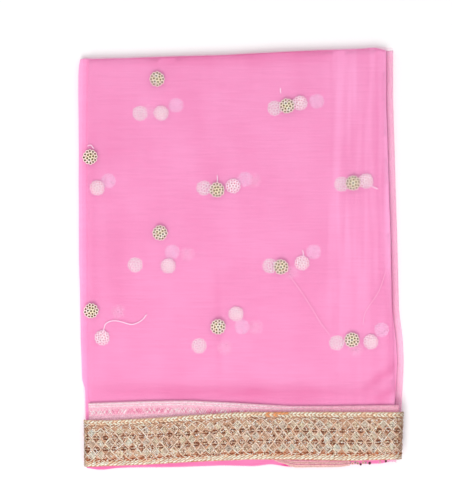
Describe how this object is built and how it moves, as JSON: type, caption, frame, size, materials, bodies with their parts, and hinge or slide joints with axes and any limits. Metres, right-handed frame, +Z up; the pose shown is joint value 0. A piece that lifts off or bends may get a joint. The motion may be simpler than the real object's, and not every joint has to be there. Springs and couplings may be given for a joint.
{
  "type": "folded dupatta stole",
  "caption": "Sheer pink net dupatta with scattered sequin flowers and a gold zari lace border, folded into a flat rectangular packet.",
  "frame": {"origin": "centre of the packet's bounding box, on the surface that it lies on", "axes": "+X to the right across the packet, +Y along it from the lace edge to the far crease, +Z up through its layers"},
  "size_m": [0.3527, 0.4577, 0.0154],
  "materials": {
    "sheer_net": "sheer pink net with a soft sheen, the plies below show through",
    "folded_net": "pink net, several plies deep, so opaque",
    "zari_lace": "machine made zari lace, metallic gold, peach and copper thread with silvery diamonds",
    "sequin": "small pale gold sequins sewn into round flowers, glossy"
  },
  "bodies": {
    "root": {"top_ply": "sheer_net", "second_ply": "sheer_net", "inner_layers": "folded_net", "bottom_ply": "folded_net", "top_lace": "zari_lace", "second_lace": "zari_lace", "lower_lace": "zari_lace", "sequin_flower_01": "sequin", "sequin_flower_02": "sequin", "sequin_flower_03": "sequin", "sequin_flower_04": "sequin", "sequin_flower_05": "sequin", "sequin_flower_06": "sequin", "sequin_flower_07": "sequin", "sequin_flower_08": "sequin", "sequin_flower_09": "sequin", "sequin_flower_10": "sequin"}
  },
  "joints": []
}
